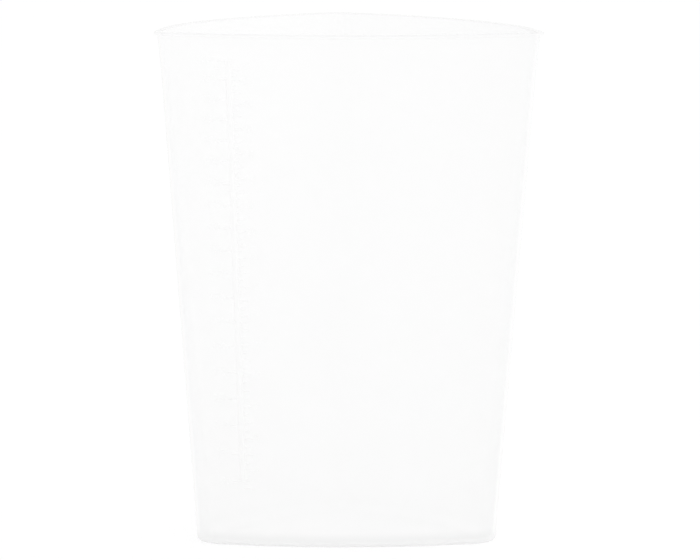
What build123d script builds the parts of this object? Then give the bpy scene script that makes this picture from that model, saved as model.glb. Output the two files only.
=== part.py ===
"""Three-cornered resin mixing cup of thin natural polypropylene, 1000 ml, with a raised double scale.

Millimetres, +Z up. The origin is on the cup's axis in the plane that it stands on. One bowed flank faces -Y
and carries the scale. The three pouring corners point to the front left, the front right and the back (+Y).
The real cup is one moulding. Its regions are separate solids here, which meet face to face.
"""

from build123d import *
import os
from math import asin, cos, degrees, pi, radians, sin, sqrt

# Cup
cup_height = 155.5
mouth_width = 115.3
mouth_corner_radius = 4.0
mouth_flank_radius = 120.0
foot_width = 90.5
foot_corner_radius = 9.0
foot_flank_radius = 104.0
wall_thickness = 1.1
floor_thickness = 1.4

# Pouring corners: over this last stretch the wall runs out to the corners a little more than its taper
flare_height = 18.0
pour_flare = 0.35

# Rim bead
bead_height = 0.9
bead_reach = 0.9
bead_edge_radius = 0.3

# Foot
foot_edge_radius = 1.8
floor_edge_radius = 2.0
foot_ring_width = 4.0
foot_recess_depth = 0.5
gate_mark_radius = 2.0
gate_mark_height = 0.3

# Scale: the rule climbs the front flank, millilitres on its left and fluid ounces on its right
rule_offset_at_foot = 30.8
rule_offset_at_mouth = 36.7
rule_width = 1.7
rule_relief = 0.4
rule_foot_clearance = 19.5
rule_mouth_clearance = 8.0
mark_relief = 0.35
mark_height = 0.45
tick_length = 2.4
half_tick_length = 1.3
freeboard = 7.8

# Counts and ratios of the scale
millilitres_at_full_mark = 1000
millilitre_step = 50
lowest_millilitres = 100
fluid_ounces_at_full_mark = 33.814
lowest_fluid_ounces = 3

CORNERS = 3
CORNER_TURN = 360 / CORNERS
FRONT = 270
WALL_BANDS = 13
ROUND_STEPS = 3
QUARTER_TURN = 90
INTEGRATION_STEPS = 60
BISECTIONS = 40


# Section of the cup

def share_between(height, low, high):
    """How far a height lies between two others, from 0 to 1."""
    return (height - low) / (high - low)


def blend(share, low, high):
    """The value at a share of the way from low to high."""
    return low + (high - low) * share


def section(height, grow=0.0):
    """Width, corner radius and flank radius of the wall's outside at a height, offset outward by grow."""
    flare_start = cup_height - flare_height
    share = share_between(height, 0, cup_height)
    flare = pour_flare * max(share_between(height, flare_start, cup_height), 0) ** 2
    width = blend(share, foot_width, mouth_width - 2 * pour_flare) + 2 * flare
    corner_radius = blend(share, foot_corner_radius, mouth_corner_radius)
    flank_radius = blend(share, foot_flank_radius, mouth_flank_radius)
    return width + 2 * grow, corner_radius + grow, flank_radius + grow


def flank_half_turn(width, corner_radius, flank_radius):
    """Half the angle of a flank's arc, in degrees."""
    return degrees(asin((width / 2 - corner_radius) / (flank_radius - corner_radius)))


def flank_centre(width, corner_radius, flank_radius):
    """Distance behind the axis of the centre of a flank's arc."""
    half_span = width / 2 - corner_radius
    return sqrt((flank_radius - corner_radius) ** 2 - half_span**2) - half_span / sqrt(3)


def section_area(width, corner_radius, flank_radius):
    """Area inside three corner arcs joined by three bowed flanks."""
    span = width - 2 * corner_radius
    half_turn = radians(flank_half_turn(width, corner_radius, flank_radius))
    corners_apart = sqrt(3) / 4 * span**2
    flank = flank_radius**2 * half_turn - (flank_radius - corner_radius) ** 2 * sin(2 * half_turn) / 2
    corner = corner_radius**2 * (pi / CORNERS - half_turn)
    return corners_apart + CORNERS * (flank + corner)


def three_cornered(width, corner_radius, flank_radius):
    """A section as a face: three flank arcs tangent to three corner arcs."""
    half_turn = flank_half_turn(width, corner_radius, flank_radius)
    corner_turn = CORNER_TURN - 2 * half_turn
    half_span = width / 2 - corner_radius
    flank_middle = Vector(0, flank_centre(width, corner_radius, flank_radius))
    corner_middle = Vector(half_span, -half_span / sqrt(3))
    with BuildSketch() as outline:
        with BuildLine():
            for side in range(CORNERS):
                turn = side * CORNER_TURN
                flank_start = FRONT - half_turn + turn
                CenterArc(flank_middle.rotate(Axis.Z, turn), flank_radius, flank_start, 2 * half_turn)
                corner_start = FRONT + half_turn + turn
                CenterArc(corner_middle.rotate(Axis.Z, turn), corner_radius, corner_start, corner_turn)
        make_face()
    return outline.sketch


def wall_levels(low, grow):
    """Levels of the wall's taper from a height up to the rim, each a height with its section."""
    heights = [blend(i / WALL_BANDS, low, cup_height) for i in range(WALL_BANDS + 1)]
    return [(height, section(height, grow)) for height in heights]


def quarter_round(radius):
    """Rises and insets of the points of a rounded edge, from its flat side up to just short of the wall."""
    angles = [radians(QUARTER_TURN * i / ROUND_STEPS) for i in range(ROUND_STEPS)]
    return [(radius * (1 - cos(angle)), radius * (1 - sin(angle))) for angle in angles]


def rounded_levels(low, grow, radius):
    """Levels of a wall that starts at a height with a rounded edge."""
    edge = [(low + rise, section(low + rise, grow - inset)) for rise, inset in quarter_round(radius)]
    return edge + wall_levels(low + radius, grow)


def lofted(levels):
    """A solid that is ruled from level to level."""
    with BuildPart() as form:
        for height, sizes in levels:
            with BuildSketch(Plane.XY.offset(height)):
                add(three_cornered(*sizes))
        loft(ruled=True)
    return form.part


# Heights of the marks, from the volume that the cup holds up to them

def held_volume(height):
    """Volume between the floor and a height, by Simpson's rule."""
    step = (height - floor_thickness) / INTEGRATION_STEPS
    total = 0
    for i in range(INTEGRATION_STEPS + 1):
        weight = 1 if i in (0, INTEGRATION_STEPS) else 4 if i % 2 else 2
        total += weight * section_area(*section(floor_thickness + i * step, -wall_thickness))
    return total * step / 3


def height_of_volume(volume):
    """Height up to which the cup holds a volume."""
    low, high = floor_thickness, cup_height
    for _ in range(BISECTIONS):
        middle = (low + high) / 2
        low, high = (middle, high) if held_volume(middle) < volume else (low, middle)
    return (low + high) / 2


full_mark_volume = held_volume(cup_height - freeboard)


def rule_place(height):
    """Signed distance of the rule's middle from the cup's middle plane."""
    return -blend(share_between(height, 0, cup_height), rule_offset_at_foot, rule_offset_at_mouth)


# Whole moulding, parted further down

outer_form = lofted(rounded_levels(0, 0, foot_edge_radius))
cavity = lofted(rounded_levels(floor_thickness, -wall_thickness, floor_edge_radius))

with BuildPart() as floor:
    add(outer_form)
    split(bisect_by=Plane.XY.offset(floor_thickness), keep=Keep.BOTTOM)
    with BuildSketch():
        add(three_cornered(*section(0, -foot_edge_radius - foot_ring_width)))
    extrude(amount=foot_recess_depth, mode=Mode.SUBTRACT)
    with BuildSketch(Plane.XY.offset(foot_recess_depth)):
        Circle(gate_mark_radius)
    extrude(amount=-gate_mark_height)

with BuildPart() as side_wall:
    add(outer_form)
    add(cavity, mode=Mode.SUBTRACT)
    split(bisect_by=Plane.XY.offset(floor_thickness), keep=Keep.TOP)

bead_low = cup_height - bead_height
bead_edge = [*quarter_round(bead_edge_radius), (bead_edge_radius, 0)]
bead_sections = [(rise, section(cup_height, bead_reach - inset)) for rise, inset in bead_edge]
bead_under = [(bead_low + rise, sizes) for rise, sizes in bead_sections]
bead_top = [(cup_height - rise, sizes) for rise, sizes in reversed(bead_sections)]

with BuildPart() as rim_bead:
    add(lofted(bead_under + bead_top))
    add(outer_form, mode=Mode.SUBTRACT)


# Raised scale on the front flank

def flank_skin(relief):
    """A skin of even thickness that lies on the wall."""
    with BuildPart() as skin:
        add(lofted(wall_levels(foot_edge_radius, relief)))
        add(outer_form, mode=Mode.SUBTRACT)
    return skin.part


def tick_plan(heights, length, side):
    """Front view of ticks that reach from the rule's middle to a length beyond its edge, on one side."""
    reach = rule_width / 2 + length
    with BuildSketch() as plan:
        for height in heights:
            with Locations((rule_place(height) + side * reach / 2, height)):
                Rectangle(reach, mark_height)
    return plan.sketch


with BuildPart() as rule_band:
    rule_low = rule_foot_clearance
    rule_high = cup_height - rule_mouth_clearance
    with BuildSketch(Plane.XZ):
        with BuildLine():
            Polyline(
                (rule_place(rule_low) - rule_width / 2, rule_low),
                (rule_place(rule_low) + rule_width / 2, rule_low),
                (rule_place(rule_high) + rule_width / 2, rule_high),
                (rule_place(rule_high) - rule_width / 2, rule_high),
                close=True,
            )
        make_face()
    extrude(amount=mouth_width)

with BuildPart() as graduation_rule:
    add(rule_band.part)
    add(flank_skin(rule_relief), mode=Mode.INTERSECT)

tick_skin = flank_skin(mark_relief)
millilitre = full_mark_volume / millilitres_at_full_mark
fluid_ounce = full_mark_volume / fluid_ounces_at_full_mark
millilitre_counts = range(lowest_millilitres, millilitres_at_full_mark + 1, millilitre_step)
millilitre_heights = [height_of_volume(millilitre * count) for count in millilitre_counts]
ounce_counts = range(lowest_fluid_ounces, int(fluid_ounces_at_full_mark) + 1)
ounce_heights = [height_of_volume(fluid_ounce * count) for count in ounce_counts]
half_ounce_heights = [(low + high) / 2 for low, high in zip(ounce_heights, ounce_heights[1:])]

with BuildPart() as millilitre_ticks:
    with BuildSketch(Plane.XZ):
        add(tick_plan(millilitre_heights, tick_length, -1))
    extrude(amount=mouth_width)
    add(rule_band.part, mode=Mode.SUBTRACT)
    add(tick_skin, mode=Mode.INTERSECT)

with BuildPart() as fluid_ounce_ticks:
    with BuildSketch(Plane.XZ):
        add(tick_plan(ounce_heights, tick_length, 1))
        add(tick_plan(half_ounce_heights, half_tick_length, 1))
    extrude(amount=mouth_width)
    add(rule_band.part, mode=Mode.SUBTRACT)
    add(tick_skin, mode=Mode.INTERSECT)

# Files

os.makedirs("parts", exist_ok=True)
floor.part.label = "floor"
side_wall.part.label = "side_wall"
rim_bead.part.label = "rim_bead"
graduation_rule.part.label = "graduation_rule"
millilitre_ticks.part.label = "millilitre_ticks"
fluid_ounce_ticks.part.label = "fluid_ounce_ticks"
for piece in (floor, side_wall, rim_bead, graduation_rule, millilitre_ticks, fluid_ounce_ticks):
    export_step(piece.part, f"parts/{piece.part.label}.step")

print("cubic millimetres at the full mark", round(full_mark_volume))
print("cubic millimetres at the brim", round(held_volume(cup_height)))
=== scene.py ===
"""A translucent three-cornered resin mixing cup on a pale floor. Metres, in the part's frame."""

import bmesh
import bpy
from math import asin, atan, cos, pi, radians, sin, sqrt
from mathutils import Matrix, Vector


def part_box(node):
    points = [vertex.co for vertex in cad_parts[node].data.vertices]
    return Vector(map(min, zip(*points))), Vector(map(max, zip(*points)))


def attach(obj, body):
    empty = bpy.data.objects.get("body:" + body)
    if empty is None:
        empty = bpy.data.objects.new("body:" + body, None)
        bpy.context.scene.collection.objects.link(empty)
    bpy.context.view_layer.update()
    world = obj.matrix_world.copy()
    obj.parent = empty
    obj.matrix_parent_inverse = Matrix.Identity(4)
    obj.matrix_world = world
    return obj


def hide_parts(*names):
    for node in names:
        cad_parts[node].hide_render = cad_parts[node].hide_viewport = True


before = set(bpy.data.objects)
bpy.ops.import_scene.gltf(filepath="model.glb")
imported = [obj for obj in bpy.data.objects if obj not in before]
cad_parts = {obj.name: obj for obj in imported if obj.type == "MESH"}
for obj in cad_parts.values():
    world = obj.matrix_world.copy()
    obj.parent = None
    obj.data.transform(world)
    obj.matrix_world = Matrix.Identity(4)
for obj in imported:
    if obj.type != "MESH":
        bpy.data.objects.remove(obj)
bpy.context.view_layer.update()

# Cup, the sizes that the frame gives
CUP_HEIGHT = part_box("rim_bead")[1].z
BEAD_HEIGHT = CUP_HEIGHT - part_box("rim_bead")[0].z
MOUTH_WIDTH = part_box("side_wall")[1].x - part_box("side_wall")[0].x
BEAD_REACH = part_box("rim_bead")[1].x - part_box("side_wall")[1].x
FLOOR_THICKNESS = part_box("floor")[1].z

# Cup, sizes of the moulding
FOOT_WIDTH = 0.0905
MOUTH_CORNER_RADIUS = 0.004
MOUTH_FLANK_RADIUS = 0.120
FOOT_CORNER_RADIUS = 0.009
FOOT_FLANK_RADIUS = 0.104
WALL_THICKNESS = 0.0011
FLARE_HEIGHT = 0.018
POUR_FLARE = 0.00035
BEAD_EDGE_RADIUS = 0.0003
MOUTH_EDGE_RADIUS = 0.0002
FOOT_EDGE_RADIUS = 0.0018
FLOOR_EDGE_RADIUS = 0.002
FOOT_RING_WIDTH = 0.004
FOOT_RECESS_DEPTH = 0.0005
RECESS_EDGE_RADIUS = 0.00015
GATE_MARK_RADIUS = 0.002
GATE_MARK_HEIGHT = 0.0003
GATE_MARK_EDGE = 0.0001

# Corners, and the direction of the front flank
CORNERS = 3
FRONT = 1.5 * pi

# Fineness of the meshes. One flat face closes the smallest ring, round the axis.
FLANK_STEPS = 44
CORNER_STEPS = 14
WALL_STEPS = 40
ROUND_STEPS = 6
GATE_MARK_STEPS = 3
RECESS_STEPS = 7
FOOT_RING_STEPS = 3
FLOOR_STEPS = 9
RULE_STEPS = 60
TICK_STEPS = 2
SIGN_STEPS = 4
AXIS_RING_RADIUS = GATE_MARK_RADIUS / 20
SHARP_ANGLE = radians(40)
MERGE_DISTANCE = 1e-7

# Scale, sizes of the marks
RULE_OFFSET_AT_FOOT = 0.0308
RULE_OFFSET_AT_MOUTH = 0.0367
RULE_WIDTH = 0.0017
RULE_RELIEF = 0.0004
RULE_FOOT_CLEARANCE = 0.0195
RULE_MOUTH_CLEARANCE = 0.008
MARK_RELIEF = 0.00035
MARK_HEIGHT = 0.00045
MARK_SINK = 0.00025
MARK_EDGE = 0.0001
TICK_ROOT = RULE_WIDTH / 4
TICK_LENGTH = 0.0024
HALF_TICK_LENGTH = 0.0013
NUMERAL_HEIGHT = 0.00205
NUMERAL_RELIEF = 0.0003
SIGN_GAP = 0.0005
SIGN_OFFSET = RULE_WIDTH / 2 + TICK_LENGTH + SIGN_GAP
OUNCE_CAPTION_RISE = 0.0022
FONT_CAPITAL = 0.7

# Scale, its counts and the volumes that place them
FREEBOARD = 0.0078
MILLILITRES_AT_FULL_MARK = 1000
MILLILITRE_STEP = 50
LOWEST_MILLILITRES = 100
MILLILITRE_CAPTION_SHARE = 0.975
OUNCES_AT_FULL_MARK = 33.814
OUNCE_NUMERAL_STEP = 2
LOWEST_OUNCES = 3
INTEGRATION_STEPS = 60
BISECTIONS = 40

# Plastic, its milky colour, and the painted shade that darkens it at the foot's edge and on the rim's
# top
PALE_MILK = (0.965, 0.965, 0.966)
DEEP_MILK = (0.950, 0.950, 0.951)
# painted shade: the darker milk at the foot's edge and along the rim's top
PAINTED_SHADE_MILK = (0.858, 0.858, 0.859)
CLOUD_SCALE = 60
CLOUD_DETAIL = 3
FOOT_FADE_TOP = 0.005
FOOT_FADE_FULL = 0.0018
RIM_FADE_HEIGHT = 0.0007

# Plastic, its satin surface
PLASTIC_IOR = 1.49
SPECULAR_LEVEL = 0.2
SMOOTHEST = 0.36
ROUGHEST = 0.5
SMEAR_SCALE = 90
SMEAR_DETAIL = 4
GRAIN_SCALE = 1400
GRAIN_DETAIL = 3
GRAIN_STRENGTH = 0.25
GRAIN_DEPTH = 0.00004

# Plastic, how much of it is haze and how it absorbs
HAZE = 0.5
HAZE_AT_EDGE = 0.65
EDGE_BLEND = 0.5
EDGE_POWER = 2
ABSORPTION = 0.5
ABSORPTION_TINT = (0.5, 0.5, 0.5)

# Floor
FLOOR_GREY = 0.95
FLOOR_GLOW = 1.0155
FLOOR_GLOW_SHARE = 0.8
FLOOR_REACH = 6.0
FLOOR_LEVEL = -0.0001

# Light
WORLD_STRENGTH = 1.0
LAMP_SIZE = 1.2
KEY_PLACE = (0.0, -1.75, 0.6)
KEY_POWER = 1.2
TOP_PLACE = (0.9, 0.3, 1.7)
TOP_POWER = 2.6
DIFFUSE_BOUNCES = 8
TRANSPARENT_BOUNCES = 32

# Camera, worked out from the photograph's perspective
CAMERA_DISTANCE = 2.017
CAMERA_HEIGHT = 0.2819
CAMERA_PITCH = 0.101
CAMERA_ROLL = 0.0029
CAMERA_AZIMUTH = 0.0301
FOCAL_PIXELS = 6627
AXIS_SHIFT_PIXELS = 4.9
IMAGE_WIDTH = 700
SENSOR_WIDTH = 36.0
CLIP_START = 0.1
CLIP_END = 100


# Section of the cup

def blend(share, low, high):
    """The value at a share of the way from low to high."""
    return low + (high - low) * share


def section(height, grow=0.0):
    """Width, corner radius and flank radius of the wall's outside at a height, grown outward."""
    share = height / CUP_HEIGHT
    flare = POUR_FLARE * max(1 - (CUP_HEIGHT - height) / FLARE_HEIGHT, 0) ** 2
    width = blend(share, FOOT_WIDTH, MOUTH_WIDTH - 2 * POUR_FLARE) + 2 * flare
    corner_radius = blend(share, FOOT_CORNER_RADIUS, MOUTH_CORNER_RADIUS)
    flank_radius = blend(share, FOOT_FLANK_RADIUS, MOUTH_FLANK_RADIUS)
    return width + 2 * grow, corner_radius + grow, flank_radius + grow


def flank_half_turn(width, corner_radius, flank_radius):
    """Half the angle of a flank's arc."""
    return asin((width / 2 - corner_radius) / (flank_radius - corner_radius))


def flank_centre(width, corner_radius, flank_radius):
    """Distance behind the axis of the centre of a flank's arc."""
    half_span = width / 2 - corner_radius
    return sqrt((flank_radius - corner_radius) ** 2 - half_span**2) - half_span / sqrt(3)


def section_area(width, corner_radius, flank_radius):
    """Area inside three corner arcs joined by three bowed flanks."""
    span = width - 2 * corner_radius
    half_turn = flank_half_turn(width, corner_radius, flank_radius)
    corners_apart = sqrt(3) / 4 * span**2
    chord_triangle = (flank_radius - corner_radius) ** 2 * sin(2 * half_turn) / 2
    flank = flank_radius**2 * half_turn - chord_triangle
    corner = corner_radius**2 * (pi / CORNERS - half_turn)
    return corners_apart + CORNERS * (flank + corner)


def held_volume(height):
    """Volume between the floor and a height, by Simpson's rule."""
    step = (height - FLOOR_THICKNESS) / INTEGRATION_STEPS
    total = 0
    for i in range(INTEGRATION_STEPS + 1):
        weight = 1 if i in (0, INTEGRATION_STEPS) else 4 if i % 2 else 2
        total += weight * section_area(*section(FLOOR_THICKNESS + i * step, -WALL_THICKNESS))
    return total * step / 3


def height_of_share(share):
    """Height up to which the cup holds a share of its full mark."""
    full = held_volume(CUP_HEIGHT - FREEBOARD)
    low, high = FLOOR_THICKNESS, CUP_HEIGHT
    for _ in range(BISECTIONS):
        middle = (low + high) / 2
        low, high = (middle, high) if held_volume(middle) < full * share else (low, middle)
    return (low + high) / 2


# Rings of points that the cup's skin is laid over

def arc_points(centre, radius, start, turn, steps):
    """Points along an arc in plan, without its last point."""
    angles = [start + turn * i / steps for i in range(steps)]
    return [Vector((centre.x + radius * cos(a), centre.y + radius * sin(a), 0)) for a in angles]


def turned(vector, angle):
    """A plan vector turned about the axis."""
    across = vector.x * cos(angle) - vector.y * sin(angle)
    return Vector((across, vector.x * sin(angle) + vector.y * cos(angle), 0))


def ring(height, sizes):
    """Points of a section at a height, counter-clockwise from the left end of the front flank."""
    width, corner_radius, flank_radius = sizes
    half_turn = flank_half_turn(*sizes)
    corner_turn = 2 * pi / CORNERS - 2 * half_turn
    half_span = width / 2 - corner_radius
    flank_middle = Vector((0, flank_centre(*sizes), 0))
    corner_middle = Vector((half_span, -half_span / sqrt(3), 0))
    points = []
    for side in range(CORNERS):
        turn = side * 2 * pi / CORNERS
        flank_start = FRONT + turn - half_turn
        centre = turned(flank_middle, turn)
        points += arc_points(centre, flank_radius, flank_start, 2 * half_turn, FLANK_STEPS)
        corner_start = FRONT + turn + half_turn
        centre = turned(corner_middle, turn)
        points += arc_points(centre, corner_radius, corner_start, corner_turn, CORNER_STEPS)
    return [point + Vector((0, 0, height)) for point in points]


def round_ring(height, radius):
    """Points of a circle about the axis, each in the direction of a point of the foot's section."""
    directions = [Vector((point.x, point.y, 0)).normalized() for point in ring(0, section(0))]
    return [direction * radius + Vector((0, 0, height)) for direction in directions]


def between(first, last, steps):
    """Rings that lead from one ring to another, without both ends."""
    return [[a.lerp(b, i / steps) for a, b in zip(first, last)] for i in range(1, steps)]


def quarter(radius):
    """Distances along and away from a flat side of the points of its rounded edge."""
    angles = [pi / 2 * i / ROUND_STEPS for i in range(ROUND_STEPS + 1)]
    return [(radius * sin(angle), radius * (1 - cos(angle))) for angle in angles]


def underside_rings():
    """Rings of the underside: the gate mark, the recess round it and the flat foot ring."""
    recess = -FOOT_EDGE_RADIUS - FOOT_RING_WIDTH
    mark_low = FOOT_RECESS_DEPTH - GATE_MARK_HEIGHT
    mark_centre = round_ring(mark_low, AXIS_RING_RADIUS)
    mark_edge = round_ring(mark_low, GATE_MARK_RADIUS - GATE_MARK_EDGE)
    mark_root = round_ring(FOOT_RECESS_DEPTH, GATE_MARK_RADIUS)
    recess_edge = ring(FOOT_RECESS_DEPTH, section(0, recess - RECESS_EDGE_RADIUS))
    foot_ring_inside = ring(0, section(0, recess + RECESS_EDGE_RADIUS))
    foot_ring_outside = ring(0, section(0, -FOOT_EDGE_RADIUS))
    return [
        mark_centre,
        *between(mark_centre, mark_edge, GATE_MARK_STEPS),
        mark_edge,
        round_ring(mark_low + GATE_MARK_EDGE, GATE_MARK_RADIUS),
        mark_root,
        *between(mark_root, recess_edge, RECESS_STEPS),
        recess_edge,
        ring(FOOT_RECESS_DEPTH - RECESS_EDGE_RADIUS, section(0, recess)),
        ring(RECESS_EDGE_RADIUS, section(0, recess)),
        foot_ring_inside,
        *between(foot_ring_inside, foot_ring_outside, FOOT_RING_STEPS),
    ]


def outside_rings():
    """Rings of the outside: the foot's rounded edge and the wall up to the rim bead."""
    rings = []
    for along, away in quarter(FOOT_EDGE_RADIUS):
        rings.append(ring(away, section(away, along - FOOT_EDGE_RADIUS)))
    for i in range(1, WALL_STEPS + 1):
        height = blend(i / WALL_STEPS, FOOT_EDGE_RADIUS, CUP_HEIGHT - BEAD_HEIGHT)
        rings.append(ring(height, section(height)))
    return rings


def mouth_rings():
    """Rings of the mouth: round the rim bead and over the inner edge."""
    bead_low = CUP_HEIGHT - BEAD_HEIGHT
    bead_flat = BEAD_REACH - BEAD_EDGE_RADIUS
    mouth_flat = MOUTH_EDGE_RADIUS - WALL_THICKNESS
    rings = []
    for along, away in quarter(BEAD_EDGE_RADIUS):
        rings.append(ring(bead_low + away, section(CUP_HEIGHT, bead_flat + along)))
    for along, away in reversed(quarter(BEAD_EDGE_RADIUS)):
        rings.append(ring(CUP_HEIGHT - away, section(CUP_HEIGHT, bead_flat + along)))
    for along, away in quarter(MOUTH_EDGE_RADIUS):
        rings.append(ring(CUP_HEIGHT - away, section(CUP_HEIGHT, mouth_flat - along)))
    return rings


def inside_rings():
    """Rings of the inside: the wall, the floor's rounded edge and the floor."""
    wall_top = CUP_HEIGHT - MOUTH_EDGE_RADIUS
    wall_low = FLOOR_THICKNESS + FLOOR_EDGE_RADIUS
    rings = []
    for i in range(1, WALL_STEPS + 1):
        height = blend(i / WALL_STEPS, wall_top, wall_low)
        rings.append(ring(height, section(height, -WALL_THICKNESS)))
    for along, away in reversed(quarter(FLOOR_EDGE_RADIUS)[:-1]):
        height = FLOOR_THICKNESS + away
        inset = FLOOR_EDGE_RADIUS - along
        rings.append(ring(height, section(height, -WALL_THICKNESS - inset)))
    centre = round_ring(FLOOR_THICKNESS, AXIS_RING_RADIUS)
    return [*rings, *between(rings[-1], centre, FLOOR_STEPS), centre]


def mesh_object(name, vertices, faces, material):
    """A mesh object with smooth faces, and sharp edges where it turns by more than an angle."""
    mesh = bpy.data.meshes.new(name)
    mesh.from_pydata([tuple(vertex) for vertex in vertices], [], faces)
    mesh.validate()
    for polygon in mesh.polygons:
        polygon.use_smooth = True
    mesh.set_sharp_from_angle(angle=SHARP_ANGLE)
    mesh.materials.append(material)
    piece = bpy.data.objects.new(name, mesh)
    bpy.context.scene.collection.objects.link(piece)
    return piece


def cup_body(material):
    """The cup without its scale: a closed skin over the moulding's rings."""
    rings = underside_rings() + outside_rings() + mouth_rings() + inside_rings()
    count = len(rings[0])
    vertices = [point for points in rings for point in points]
    faces = []
    for i in range(0, len(vertices) - count, count):
        for j in range(count):
            k = (j + 1) % count
            faces.append((i + j, i + k, i + count + k, i + count + j))
    faces.append(tuple(reversed(range(count))))
    faces.append(tuple(range(len(vertices) - count, len(vertices))))
    return mesh_object("cup", vertices, faces, material)


# Materials

def new_material(name):
    """A material with its nodes and links."""
    material = bpy.data.materials.new(name)
    material.use_nodes = True
    return material, material.node_tree.nodes, material.node_tree.links


def wave(nodes, links, place, scale, detail):
    """A soft noise from 0 to 1 over the surface."""
    noise = nodes.new("ShaderNodeTexNoise")
    noise.inputs["Scale"].default_value = scale
    noise.inputs["Detail"].default_value = detail
    links.new(place, noise.inputs["Vector"])
    return noise.outputs["Fac"]


def ranged(nodes, links, value, low, high):
    """A value from 0 to 1 brought between low and high."""
    spread = nodes.new("ShaderNodeMapRange")
    spread.inputs["To Min"].default_value = low
    spread.inputs["To Max"].default_value = high
    links.new(value, spread.inputs["Value"])
    return spread.outputs["Result"]


def combined(nodes, links, operation, first, second):
    """Two values, each a number or a socket, brought together by an operation."""
    node = nodes.new("ShaderNodeMath")
    node.operation = operation
    for socket, value in zip(node.inputs, (first, second)):
        if isinstance(value, (int, float)):
            socket.default_value = value
        else:
            links.new(value, socket)
    return node.outputs["Value"]


def mixed_colour(nodes, links, share, first, second):
    """A colour at a share of the way between two, each a colour or a socket."""
    mix = nodes.new("ShaderNodeMix")
    mix.data_type = "RGBA"
    links.new(share, mix.inputs["Factor"])
    for name, colour in (("A", first), ("B", second)):
        if isinstance(colour, tuple):
            mix.inputs[name].default_value = (*colour, 1)
        else:
            links.new(colour, mix.inputs[name])
    return mix.outputs["Result"]


def mixed_shader(nodes, links, share, first, second):
    """A shader at a share of the way between two."""
    mix = nodes.new("ShaderNodeMixShader")
    links.new(share, mix.inputs["Fac"])
    links.new(first, mix.inputs[1])
    links.new(second, mix.inputs[2])
    return mix.outputs["Shader"]


def thickness(nodes, links):
    """Share of the painted shade: full at the foot's edge and on top of the rim, and none between.

    Faces that look up, such as the floor's, don't take the foot's painted shade.
    """
    place = nodes.new("ShaderNodeTexCoord")
    height = nodes.new("ShaderNodeSeparateXYZ")
    links.new(place.outputs["Object"], height.inputs["Vector"])
    normal = nodes.new("ShaderNodeSeparateXYZ")
    links.new(place.outputs["Normal"], normal.inputs["Vector"])

    def fade(empty, full):
        """Goes smoothly from 0 at one height to 1 at another."""
        share = nodes.new("ShaderNodeMapRange")
        share.interpolation_type = "SMOOTHSTEP"
        share.inputs["From Min"].default_value = empty
        share.inputs["From Max"].default_value = full
        links.new(height.outputs["Z"], share.inputs["Value"])
        return share.outputs["Result"]

    upward = combined(nodes, links, "MAXIMUM", normal.outputs["Z"], 0)
    not_upward = combined(nodes, links, "SUBTRACT", 1, upward)
    # painted shade: darker towards the foot's edge, on faces that don't look up
    foot_fade = fade(FOOT_FADE_TOP, FOOT_FADE_FULL)
    foot = combined(nodes, links, "MULTIPLY", foot_fade, not_upward)
    # painted shade: a dark line along the rim's top
    rim = fade(CUP_HEIGHT - RIM_FADE_HEIGHT, CUP_HEIGHT)
    return combined(nodes, links, "ADD", foot, rim)


def satin(nodes, links):
    """The milky satin share of the plastic, with clouds and painted shade in its tint, smears and a
    fine grain.
    """
    place = nodes.new("ShaderNodeTexCoord").outputs["Object"]
    surface = nodes["Principled BSDF"]
    surface.inputs["IOR"].default_value = PLASTIC_IOR
    surface.inputs["Specular IOR Level"].default_value = SPECULAR_LEVEL

    cloud = wave(nodes, links, place, CLOUD_SCALE, CLOUD_DETAIL)
    cloudy_milk = mixed_colour(nodes, links, cloud, PALE_MILK, DEEP_MILK)
    # painted shade mixed into the milk at the foot's edge and on the rim's top
    milk_and_shade = mixed_colour(nodes, links, thickness(nodes, links), cloudy_milk, PAINTED_SHADE_MILK)
    links.new(milk_and_shade, surface.inputs["Base Color"])

    smear = wave(nodes, links, place, SMEAR_SCALE, SMEAR_DETAIL)
    links.new(ranged(nodes, links, smear, SMOOTHEST, ROUGHEST), surface.inputs["Roughness"])

    grain = nodes.new("ShaderNodeBump")
    grain.inputs["Strength"].default_value = GRAIN_STRENGTH
    grain.inputs["Distance"].default_value = GRAIN_DEPTH
    links.new(wave(nodes, links, place, GRAIN_SCALE, GRAIN_DETAIL), grain.inputs["Height"])
    links.new(grain.outputs["Normal"], surface.inputs["Normal"])
    return surface.outputs["BSDF"]


def satin_share(nodes, links):
    """Share of the satin surface: more at a slant, and none on faces that light leaves through."""
    facing = nodes.new("ShaderNodeLayerWeight")
    facing.inputs["Blend"].default_value = EDGE_BLEND
    slant = combined(nodes, links, "POWER", facing.outputs["Facing"], EDGE_POWER)
    haze = ranged(nodes, links, slant, HAZE, HAZE_AT_EDGE)
    leaving = nodes.new("ShaderNodeNewGeometry").outputs["Backfacing"]
    entering = combined(nodes, links, "SUBTRACT", 1, leaving)
    return combined(nodes, links, "MULTIPLY", haze, entering)


def polypropylene():
    """Natural polypropylene: a thin milky wall that lets about half of the light through."""
    material, nodes, links = new_material("natural_polypropylene")
    clear = nodes.new("ShaderNodeBsdfTransparent").outputs["BSDF"]
    wall = mixed_shader(nodes, links, satin_share(nodes, links), clear, satin(nodes, links))
    links.new(wall, nodes["Material Output"].inputs["Surface"])
    inside = nodes.new("ShaderNodeVolumeAbsorption")
    inside.inputs["Color"].default_value = (*ABSORPTION_TINT, 1)
    inside.inputs["Density"].default_value = ABSORPTION
    links.new(inside.outputs["Volume"], nodes["Material Output"].inputs["Volume"])
    return material


def seen_share(nodes, links):
    """1 for rays of the camera, of reflections and through the cup, otherwise 0."""
    path = nodes.new("ShaderNodeLightPath")
    share = path.outputs["Is Camera Ray"]
    for other in ("Is Glossy Ray", "Is Transmission Ray"):
        share = combined(nodes, links, "MAXIMUM", share, path.outputs[other])
    return share


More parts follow.
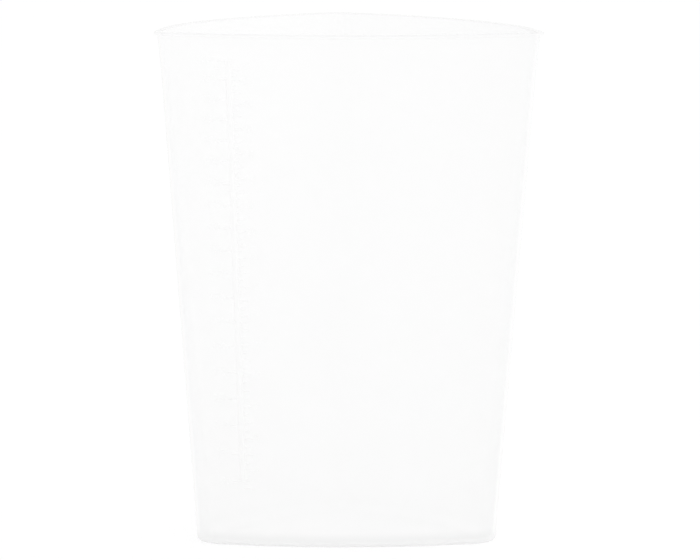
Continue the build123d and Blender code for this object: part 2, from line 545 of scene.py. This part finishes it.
def floor_material():
    """A white sweep: mostly its own white to the camera, with some shading so that shadows show."""
    material, nodes, links = new_material("floor")
    nodes.remove(nodes["Principled BSDF"])
    matt = nodes.new("ShaderNodeBsdfDiffuse")
    matt.inputs["Color"].default_value = (FLOOR_GREY, FLOOR_GREY, FLOOR_GREY, 1)
    white = nodes.new("ShaderNodeEmission")
    white.inputs["Strength"].default_value = FLOOR_GLOW
    share = combined(nodes, links, "MULTIPLY", seen_share(nodes, links), FLOOR_GLOW_SHARE)
    sweep = mixed_shader(nodes, links, share, matt.outputs["BSDF"], white.outputs["Emission"])
    links.new(sweep, nodes["Material Output"].inputs["Surface"])
    return material


# Raised scale on the front flank

def rule_place(height):
    """Place of the rule's middle across the front flank at a height."""
    return -blend(height / CUP_HEIGHT, RULE_OFFSET_AT_FOOT, RULE_OFFSET_AT_MOUTH)


def flank_point(across, height, relief):
    """The point of the front flank at a place across it and a height, lifted off by a relief."""
    sizes = section(height, relief)
    return Vector((across, flank_centre(*sizes) - sqrt(sizes[2] ** 2 - across**2), height))


def flank_bar(start, end, width, relief, steps):
    """Vertices and faces of a raised bar with eased edges. Its ends are places and heights."""
    start, end = Vector(start), Vector(end)
    length = (end - start).length
    along = (end - start).normalized()
    across = Vector((-along.y, along.x)) * width / 2
    eased = 1 - MARK_EDGE / (width / 2)
    shoulder = relief - MARK_EDGE
    low = -MARK_SINK
    stations = [blend(i / steps, MARK_EDGE, length - MARK_EDGE) for i in range(steps + 1)]
    vertices = []
    for station in [0, *stations, length]:
        top = shoulder if station in (0, length) else relief
        profile = [(-1, low), (-1, shoulder), (-eased, top), (eased, top), (1, shoulder), (1, low)]
        for side, lift in profile:
            place = start + along * station + across * side
            vertices.append(flank_point(place.x, place.y, lift))
    count = len(profile)
    last = range(len(vertices) - count, len(vertices))
    faces = [tuple(range(count)), tuple(reversed(last))]
    for i in range(0, len(vertices) - count, count):
        for j in range(count):
            k = (j + 1) % count
            faces.append((i + k, i + j, i + count + j, i + count + k))
    return vertices, faces


def flank_sign(body, across, height, align):
    """Vertices and faces of a raised sign, from a place of its edge and a height.

    The text is extruded only to tell its front, which gets the relief, from its sunk back.
    """
    curve = bpy.data.curves.new("sign", "FONT")
    curve.body = body
    curve.size = NUMERAL_HEIGHT / FONT_CAPITAL
    curve.align_x = align
    curve.align_y = "CENTER"
    curve.extrude = 1
    curve.resolution_u = SIGN_STEPS
    sign = bpy.data.objects.new("sign", curve)
    mesh = bpy.data.meshes.new_from_object(sign)
    vertices = []
    for vertex in mesh.vertices:
        relief = NUMERAL_RELIEF if vertex.co.z > 0 else -MARK_SINK
        vertices.append(flank_point(across + vertex.co.x, height + vertex.co.y, relief))
    faces = [tuple(polygon.vertices) for polygon in mesh.polygons]
    bpy.data.objects.remove(sign)
    bpy.data.curves.remove(curve)
    bpy.data.meshes.remove(mesh)
    return vertices, faces


def joined(name, solids, material):
    """One closed mesh object of solids that don't touch."""
    vertices, faces = [], []
    for solid_vertices, solid_faces in solids:
        faces += [tuple(len(vertices) + i for i in face) for face in solid_faces]
        vertices += solid_vertices
    piece = mesh_object(name, vertices, faces, material)
    form = bmesh.new()
    form.from_mesh(piece.data)
    bmesh.ops.remove_doubles(form, verts=form.verts, dist=MERGE_DISTANCE)
    bmesh.ops.recalc_face_normals(form, faces=form.faces)
    form.to_mesh(piece.data)
    form.free()
    return piece


def scale_solids(material):
    """The raised scale: the rule, its ticks, and the numerals and unit letters beside them."""
    ticks, signs = [], []

    def tick(height, length, side):
        """Adds a tick on one side of the rule."""
        inner = rule_place(height) + side * TICK_ROOT
        outer = rule_place(height) + side * (RULE_WIDTH / 2 + length)
        ends = (inner, height), (outer, height)
        ticks.append(flank_bar(*ends, MARK_HEIGHT, MARK_RELIEF, TICK_STEPS))

    for count in range(LOWEST_MILLILITRES, MILLILITRES_AT_FULL_MARK + 1, MILLILITRE_STEP):
        height = height_of_share(count / MILLILITRES_AT_FULL_MARK)
        tick(height, TICK_LENGTH, -1)
        place = rule_place(height) - SIGN_OFFSET
        signs.append(flank_sign(str(count), place, height, "RIGHT"))

    ounce_counts = range(LOWEST_OUNCES, int(OUNCES_AT_FULL_MARK) + 1)
    ounce_heights = [height_of_share(count / OUNCES_AT_FULL_MARK) for count in ounce_counts]
    for count, height in zip(ounce_counts, ounce_heights):
        tick(height, TICK_LENGTH, 1)
        if count % OUNCE_NUMERAL_STEP == 0:
            place = rule_place(height) + SIGN_OFFSET
            signs.append(flank_sign(str(count), place, height, "LEFT"))
    for below, above in zip(ounce_heights, ounce_heights[1:]):
        tick((below + above) / 2, HALF_TICK_LENGTH, 1)

    caption = height_of_share(MILLILITRE_CAPTION_SHARE)
    place = rule_place(caption) - RULE_WIDTH / 2 - SIGN_GAP
    signs.append(flank_sign("ml", place, caption, "RIGHT"))
    caption = ounce_heights[-1] + OUNCE_CAPTION_RISE
    signs.append(flank_sign("oz", rule_place(caption) + SIGN_OFFSET, caption, "LEFT"))

    low, high = RULE_FOOT_CLEARANCE, CUP_HEIGHT - RULE_MOUTH_CLEARANCE
    ends = (rule_place(low), low), (rule_place(high), high)
    rule = flank_bar(*ends, RULE_WIDTH, RULE_RELIEF, RULE_STEPS)
    named = {"rule": [rule], "ticks": ticks, "signs": signs}
    return [joined(name, solids, material) for name, solids in named.items()]


def unite(body, solids):
    """Makes solids one skin with the body, and removes them."""
    for solid in solids:
        union = body.modifiers.new(solid.name, "BOOLEAN")
        union.operation = "UNION"
        union.solver = "MANIFOLD"
        union.object = solid
    bpy.context.view_layer.update()
    dependencies = bpy.context.evaluated_depsgraph_get()
    mesh = bpy.data.meshes.new_from_object(body.evaluated_get(dependencies))
    body.modifiers.clear()
    body.data = mesh
    for solid in solids:
        bpy.data.objects.remove(solid)
    mesh.set_sharp_from_angle(angle=SHARP_ANGLE)


# Studio

def floor_plane():
    """A floor that reaches far past the view, a hair below the foot so that no faces coincide."""
    square = (-1, -1), (1, -1), (1, 1), (-1, 1)
    corners = [(x * FLOOR_REACH, y * FLOOR_REACH, FLOOR_LEVEL) for x, y in square]
    plane = mesh_object("studio_floor", corners, [(0, 1, 2, 3)], floor_material())


def soft_lamp(name, place, power):
    """A large square lamp at a place, aimed at the middle of the cup."""
    light = bpy.data.lights.new(name, "AREA")
    light.size = LAMP_SIZE
    light.energy = power
    lamp = bpy.data.objects.new(name, light)
    lamp.location = place
    aim = Vector((0, 0, CUP_HEIGHT / 2)) - Vector(place)
    lamp.rotation_euler = aim.to_track_quat("-Z", "Y").to_euler()
    bpy.context.scene.collection.objects.link(lamp)


def studio():
    """White surroundings, a soft light from the front and one from above on the right."""
    world = bpy.data.worlds.new("studio")
    bpy.context.scene.world = world
    world.use_nodes = True
    plain = world.node_tree.nodes["Background"]
    plain.inputs["Color"].default_value = (1, 1, 1, 1)
    plain.inputs["Strength"].default_value = WORLD_STRENGTH
    soft_lamp("key", KEY_PLACE, KEY_POWER)
    soft_lamp("top", TOP_PLACE, TOP_POWER)


def photo_camera():
    """The camera at the photograph's place, height, tilt and focal length."""
    data = bpy.data.cameras.new("camera")
    data.sensor_width = SENSOR_WIDTH
    data.lens = SENSOR_WIDTH * FOCAL_PIXELS / IMAGE_WIDTH
    data.clip_start = CLIP_START
    data.clip_end = CLIP_END
    camera = bpy.data.objects.new("camera", data)
    across, back = sin(CAMERA_AZIMUTH), cos(CAMERA_AZIMUTH)
    camera.location = (-CAMERA_DISTANCE * across, -CAMERA_DISTANCE * back, CAMERA_HEIGHT)
    turn = CAMERA_AZIMUTH + atan(AXIS_SHIFT_PIXELS / FOCAL_PIXELS)
    aim = Matrix.Rotation(-turn, 3, "Z") @ Matrix.Rotation(pi / 2 - CAMERA_PITCH, 3, "X")
    camera.rotation_euler = (aim @ Matrix.Rotation(CAMERA_ROLL, 3, "Z")).to_euler()
    bpy.context.scene.collection.objects.link(camera)
    bpy.context.scene.camera = camera


plastic = polypropylene()
cup = cup_body(plastic)
unite(cup, scale_solids(plastic))
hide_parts("side_wall", "floor", "rim_bead", "graduation_rule", "millilitre_ticks", "fluid_ounce_ticks")
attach(cup, "root")

floor_plane()
studio()
photo_camera()
bpy.context.scene.view_settings.view_transform = "Standard"
bpy.context.scene.cycles.diffuse_bounces = DIFFUSE_BOUNCES
bpy.context.scene.cycles.transparent_max_bounces = TRANSPARENT_BOUNCES
